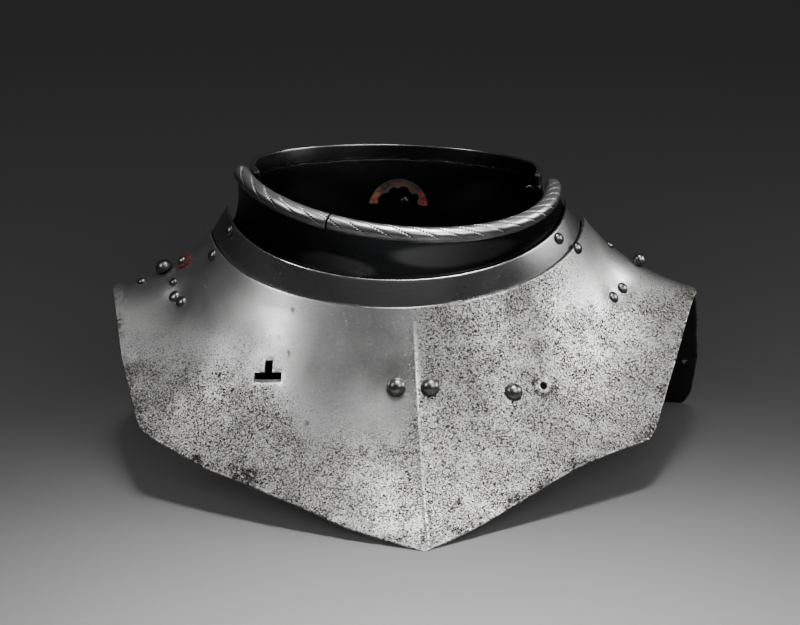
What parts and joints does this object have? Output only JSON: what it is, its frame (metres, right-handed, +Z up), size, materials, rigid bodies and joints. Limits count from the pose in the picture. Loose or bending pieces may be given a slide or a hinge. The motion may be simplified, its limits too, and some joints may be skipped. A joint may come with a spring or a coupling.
{
  "type": "steel gorget",
  "caption": "Steel gorget of nested neck plates and two large collar plates, hinged on a shoulder stud, with a roped rim; it rests on its lower edges.",
  "frame": {"origin": "on the floor, under the middle of the whole gorget", "axes": "+Z up out of the neck opening, -Y towards the front plate's tip, +X towards the right shoulder as seen from the front"},
  "size_m": [0.3082, 0.2802, 0.1547],
  "materials": {
    "bright_plate": "worn, hammered steel, finely pitted, corroded along the lower edges",
    "collar_plate": "dark worn steel wall under a brighter filed rim",
    "neck_plates": "dark, smooth, tarnished steel with brighter edges",
    "back_plate": "dark tarnished steel",
    "studs": "rubbed bright on the crown, dark round the foot",
    "pin_wire": "dark wire",
    "red_leather": "dry, frayed, dull red",
    "lining": "dry, grey and red brown, frayed"
  },
  "bodies": {
    "front": {"front_plate": "bright_plate", "chest_stud_left": "studs", "chest_stud_middle": "studs", "chest_stud_right": "studs", "strap_rivet_left_upper": "studs", "strap_rivet_left_lower": "studs", "strap_rivet_right_upper": "studs", "strap_rivet_right_lower": "studs", "shoulder_rivet_left_middle": "studs", "shoulder_rivet_left_outer": "studs", "shoulder_rivet_right": "studs", "shoulder_rivet_left_inner": "studs", "leather_scrap": "red_leather", "front_lame_rivet_left": "studs", "front_lame_rivet_right": "studs", "pivot_stud": "studs"},
    "front_lame": {"front_lame": "neck_plates", "front_collar_rivet_left": "studs", "front_collar_rivet_right": "studs"},
    "front_collar": {"front_collar": "collar_plate"},
    "back": {"back_plate": "back_plate", "closing_stud": "studs", "back_lame_rivet_left": "studs", "back_lame_rivet_right": "studs"},
    "back_lame": {"back_lame": "neck_plates", "back_collar_rivet_left": "studs", "back_collar_rivet_right": "studs"},
    "back_collar": {"back_collar": "neck_plates", "lining_scrap": "lining", "lining_rivet": "studs", "collar_hook": "pin_wire"}
  },
  "joints": [
    {"name": "back_opening", "type": "hinge", "parent": "front", "child": "back", "pos_m": [0.11595, 0.01735, 0.09513], "axis": [-0.0501, -0.1202, 0.9915], "range_deg": [-20, 0]},
    {"name": "front_lame_rock", "type": "hinge", "parent": "front", "child": "front_lame", "pos_m": [-0.10038, -0.00529, 0.10869], "axis": [0.9991, -0.0384, 0.0172], "range_deg": [-2, 1.5]},
    {"name": "front_collar_rock", "type": "hinge", "parent": "front_lame", "child": "front_collar", "pos_m": [-0.09173, -0.00365, 0.12091], "axis": [0.9967, -0.0798, -0.0177], "range_deg": [-1.5, 1.5]},
    {"name": "back_lame_rock", "type": "hinge", "parent": "back", "child": "back_lame", "pos_m": [-0.09112, 0.05379, 0.09821], "axis": [0.9999, -0.0002, 0.0136], "range_deg": [-1.5, 1.5]},
    {"name": "back_collar_rock", "type": "hinge", "parent": "back_lame", "child": "back_collar", "pos_m": [-0.08454, 0.03833, 0.12195], "axis": [1, -0.0001, 0.001], "range_deg": [-2, 2]}
  ]
}
